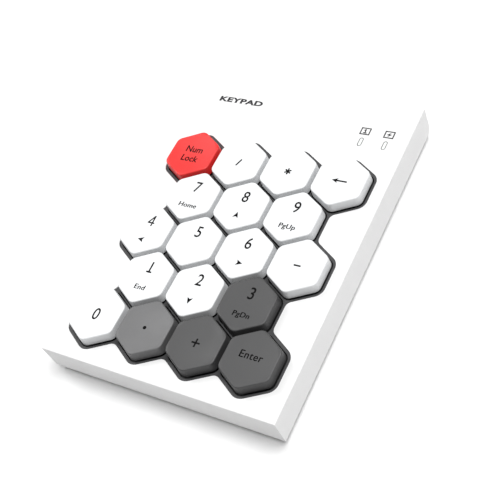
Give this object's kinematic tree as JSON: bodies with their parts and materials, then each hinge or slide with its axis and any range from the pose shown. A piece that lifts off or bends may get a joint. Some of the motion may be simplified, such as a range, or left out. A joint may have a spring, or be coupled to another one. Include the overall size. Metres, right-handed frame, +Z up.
{
  "type": "numeric keypad",
  "caption": "Slim rechargeable numeric keypad: white slab with sprung hexagonal keys in a honeycomb layout, indicator lamps, rear USB-C socket and power switch.",
  "frame": {"origin": "centre of the case's footprint, on the plane that the rubber feet stand on", "axes": "+Z up through the key tops, +X to the right of the person typing, +Y away from them, towards the socket"},
  "size_m": [0.0862, 0.1174, 0.0163],
  "materials": {
    "case_white": "satin",
    "key_white": "satin",
    "key_red": "satin",
    "key_grey": "satin",
    "frame_black": "matt",
    "silicone": "matt",
    "film": "gloss",
    "plate_steel": "zinc plated",
    "screw_steel": "zinc plated",
    "foot_rubber": "matt",
    "board_green": "solder mask",
    "bright_metal": "nickel plated",
    "knob_black": "matt",
    "lens_clear": "clear",
    "lamp": "diffuse",
    "chip_black": "matt",
    "foil": "foil",
    "tape": "matt",
    "lead_red": "satin",
    "lead_black": "satin",
    "plug_white": "satin"
  },
  "bodies": {
    "case": {"top_case": "case_white", "bottom_case": "case_white", "case_screws": "screw_steel", "rubber_feet": "foot_rubber", "key_frame": "frame_black", "dome_sheet": "silicone", "membrane_bottom": "film", "membrane_spacer": "film", "membrane_top": "film", "back_plate": "plate_steel", "plate_screws": "screw_steel", "main_board": "board_green", "board_screws": "screw_steel", "clamp_bar": "frame_black", "clamp_strip": "foot_rubber", "clamp_screws": "screw_steel", "usb_port": "bright_metal", "power_switch_body": "bright_metal", "num_lock_lens": "lens_clear", "battery_lens": "lens_clear", "num_lock_lamp": "lamp", "battery_lamp": "lamp", "controller_chip": "chip_black", "charger_chip": "chip_black", "timing_crystal": "bright_metal", "battery_cell": "foil", "battery_tape": "tape", "battery_lead_positive": "lead_red", "battery_lead_negative": "lead_black", "battery_plug": "plug_white", "battery_socket": "plug_white"},
    "key_num_lock": {"keycap_num_lock": "key_red"},
    "key_divide": {"keycap_divide": "key_white"},
    "key_multiply": {"keycap_multiply": "key_white"},
    "key_backspace": {"keycap_backspace": "key_white"},
    "key_7": {"keycap_7": "key_white"},
    "key_8": {"keycap_8": "key_white"},
    "key_9": {"keycap_9": "key_white"},
    "key_4": {"keycap_4": "key_white"},
    "key_5": {"keycap_5": "key_white"},
    "key_6": {"keycap_6": "key_white"},
    "key_minus": {"keycap_minus": "key_white"},
    "key_1": {"keycap_1": "key_white"},
    "key_2": {"keycap_2": "key_white"},
    "key_3": {"keycap_3": "key_grey"},
    "key_0": {"keycap_0": "key_white"},
    "key_decimal": {"keycap_decimal": "key_grey"},
    "key_plus": {"keycap_plus": "key_grey"},
    "key_enter": {"keycap_enter": "key_grey"},
    "power_switch": {"power_switch_knob": "knob_black"}
  },
  "joints": [
    {"name": "press_num_lock", "type": "slide", "parent": "case", "child": "key_num_lock", "axis": [0, 0, -1], "range_m": [0, 0.0022], "stiffness_N_per_m": 220, "springref_m": -0.0014, "deforming": ["dome_sheet"]},
    {"name": "press_divide", "type": "slide", "parent": "case", "child": "key_divide", "axis": [0, 0, -1], "range_m": [0, 0.0022], "stiffness_N_per_m": 220, "springref_m": -0.0014, "deforming": ["dome_sheet"]},
    {"name": "press_multiply", "type": "slide", "parent": "case", "child": "key_multiply", "axis": [0, 0, -1], "range_m": [0, 0.0022], "stiffness_N_per_m": 220, "springref_m": -0.0014, "deforming": ["dome_sheet"]},
    {"name": "press_backspace", "type": "slide", "parent": "case", "child": "key_backspace", "axis": [0, 0, -1], "range_m": [0, 0.0022], "stiffness_N_per_m": 220, "springref_m": -0.0014, "deforming": ["dome_sheet"]},
    {"name": "press_7", "type": "slide", "parent": "case", "child": "key_7", "axis": [0, 0, -1], "range_m": [0, 0.0022], "stiffness_N_per_m": 220, "springref_m": -0.0014, "deforming": ["dome_sheet"]},
    {"name": "press_8", "type": "slide", "parent": "case", "child": "key_8", "axis": [0, 0, -1], "range_m": [0, 0.0022], "stiffness_N_per_m": 220, "springref_m": -0.0014, "deforming": ["dome_sheet"]},
    {"name": "press_9", "type": "slide", "parent": "case", "child": "key_9", "axis": [0, 0, -1], "range_m": [0, 0.0022], "stiffness_N_per_m": 220, "springref_m": -0.0014, "deforming": ["dome_sheet"]},
    {"name": "press_4", "type": "slide", "parent": "case", "child": "key_4", "axis": [0, 0, -1], "range_m": [0, 0.0022], "stiffness_N_per_m": 220, "springref_m": -0.0014, "deforming": ["dome_sheet"]},
    {"name": "press_5", "type": "slide", "parent": "case", "child": "key_5", "axis": [0, 0, -1], "range_m": [0, 0.0022], "stiffness_N_per_m": 220, "springref_m": -0.0014, "deforming": ["dome_sheet"]},
    {"name": "press_6", "type": "slide", "parent": "case", "child": "key_6", "axis": [0, 0, -1], "range_m": [0, 0.0022], "stiffness_N_per_m": 220, "springref_m": -0.0014, "deforming": ["dome_sheet"]},
    {"name": "press_minus", "type": "slide", "parent": "case", "child": "key_minus", "axis": [0, 0, -1], "range_m": [0, 0.0022], "stiffness_N_per_m": 220, "springref_m": -0.0014, "deforming": ["dome_sheet"]},
    {"name": "press_1", "type": "slide", "parent": "case", "child": "key_1", "axis": [0, 0, -1], "range_m": [0, 0.0022], "stiffness_N_per_m": 220, "springref_m": -0.0014, "deforming": ["dome_sheet"]},
    {"name": "press_2", "type": "slide", "parent": "case", "child": "key_2", "axis": [0, 0, -1], "range_m": [0, 0.0022], "stiffness_N_per_m": 220, "springref_m": -0.0014, "deforming": ["dome_sheet"]},
    {"name": "press_3", "type": "slide", "parent": "case", "child": "key_3", "axis": [0, 0, -1], "range_m": [0, 0.0022], "stiffness_N_per_m": 220, "springref_m": -0.0014, "deforming": ["dome_sheet"]},
    {"name": "press_0", "type": "slide", "parent": "case", "child": "key_0", "axis": [0, 0, -1], "range_m": [0, 0.0022], "stiffness_N_per_m": 220, "springref_m": -0.0014, "deforming": ["dome_sheet"]},
    {"name": "press_decimal", "type": "slide", "parent": "case", "child": "key_decimal", "axis": [0, 0, -1], "range_m": [0, 0.0022], "stiffness_N_per_m": 220, "springref_m": -0.0014, "deforming": ["dome_sheet"]},
    {"name": "press_plus", "type": "slide", "parent": "case", "child": "key_plus", "axis": [0, 0, -1], "range_m": [0, 0.0022], "stiffness_N_per_m": 220, "springref_m": -0.0014, "deforming": ["dome_sheet"]},
    {"name": "press_enter", "type": "slide", "parent": "case", "child": "key_enter", "axis": [0, 0, -1], "range_m": [0, 0.0022], "stiffness_N_per_m": 220, "springref_m": -0.0014, "deforming": ["dome_sheet"]},
    {"name": "power_slide", "type": "slide", "parent": "case", "child": "power_switch", "axis": [1, 0, 0], "range_m": [0, 0.0025]}
  ]
}
